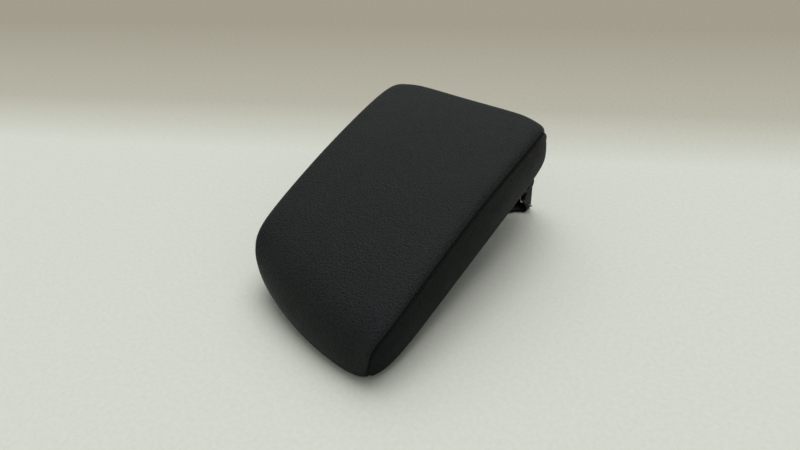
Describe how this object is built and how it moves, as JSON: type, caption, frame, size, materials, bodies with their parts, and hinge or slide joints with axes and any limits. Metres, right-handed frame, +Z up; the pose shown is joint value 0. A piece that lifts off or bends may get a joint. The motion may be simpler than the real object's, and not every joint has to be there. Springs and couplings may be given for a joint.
{
  "type": "car armrest",
  "caption": "Padded, leather-covered centre console armrest lid that swings up on a pressed steel rear hinge bracket, with a finger latch under its front edge.",
  "frame": {"origin": "on the ground, straight under the middle of the hinge pin", "axes": "+Z up, -Y towards the front of the lid, +X to the right along the hinge pin, the side seen in the picture"},
  "size_m": [0.1898, 0.2988, 0.1185],
  "materials": {
    "black_leather": "fine-grained satin leather, charcoal black",
    "grey_foam": "open-cell moulded foam",
    "black_plastic": "finely textured moulded plastic",
    "painted_steel": "black coated pressed steel",
    "zinc_steel": "zinc-plated steel",
    "bush_plastic": "natural bearing plastic",
    "black_rubber": "matt rubber"
  },
  "bodies": {
    "bracket": {"hinge_bracket": "painted_steel", "hinge_pin": "painted_steel", "pin_clip": "painted_steel", "washer_right": "painted_steel", "washer_left": "painted_steel", "stop_rivet_right": "painted_steel", "stop_rivet_left": "painted_steel", "spring_right": "zinc_steel", "spring_left": "zinc_steel"},
    "lid": {"cover_top_panel": "black_leather", "cover_side_right": "black_leather", "cover_side_left": "black_leather", "foam_pad": "grey_foam", "lid_shell": "black_plastic", "inner_panel": "black_plastic", "panel_screw_1": "zinc_steel", "panel_screw_2": "zinc_steel", "panel_screw_3": "zinc_steel", "panel_screw_4": "zinc_steel", "panel_screw_5": "zinc_steel", "panel_screw_6": "zinc_steel", "bumper_1": "black_rubber", "bumper_2": "black_rubber", "bumper_3": "black_rubber", "bumper_4": "black_rubber", "hinge_plate": "painted_steel", "hinge_screw_1": "zinc_steel", "hinge_screw_2": "zinc_steel", "hinge_screw_3": "zinc_steel", "hinge_screw_4": "zinc_steel", "bush_right": "bush_plastic", "bush_left": "bush_plastic", "latch_housing": "black_plastic", "latch_housing_screw_1": "zinc_steel", "latch_housing_screw_2": "zinc_steel", "latch_pin": "zinc_steel"},
    "latch": {"latch_lever": "black_plastic", "latch_spring": "zinc_steel"}
  },
  "joints": [
    {"name": "lid_hinge", "type": "hinge", "parent": "bracket", "child": "lid", "pos_m": [0, 0, 0.038], "axis": [-1, 0, 0], "range_deg": [0, 105]},
    {"name": "latch_pivot", "type": "hinge", "parent": "lid", "child": "latch", "pos_m": [0, -0.22259, 0.02265], "axis": [-1, 0, 0], "range_deg": [0, 18], "stiffness_Nm_per_rad": 0.06, "springref_deg": -17.19}
  ]
}
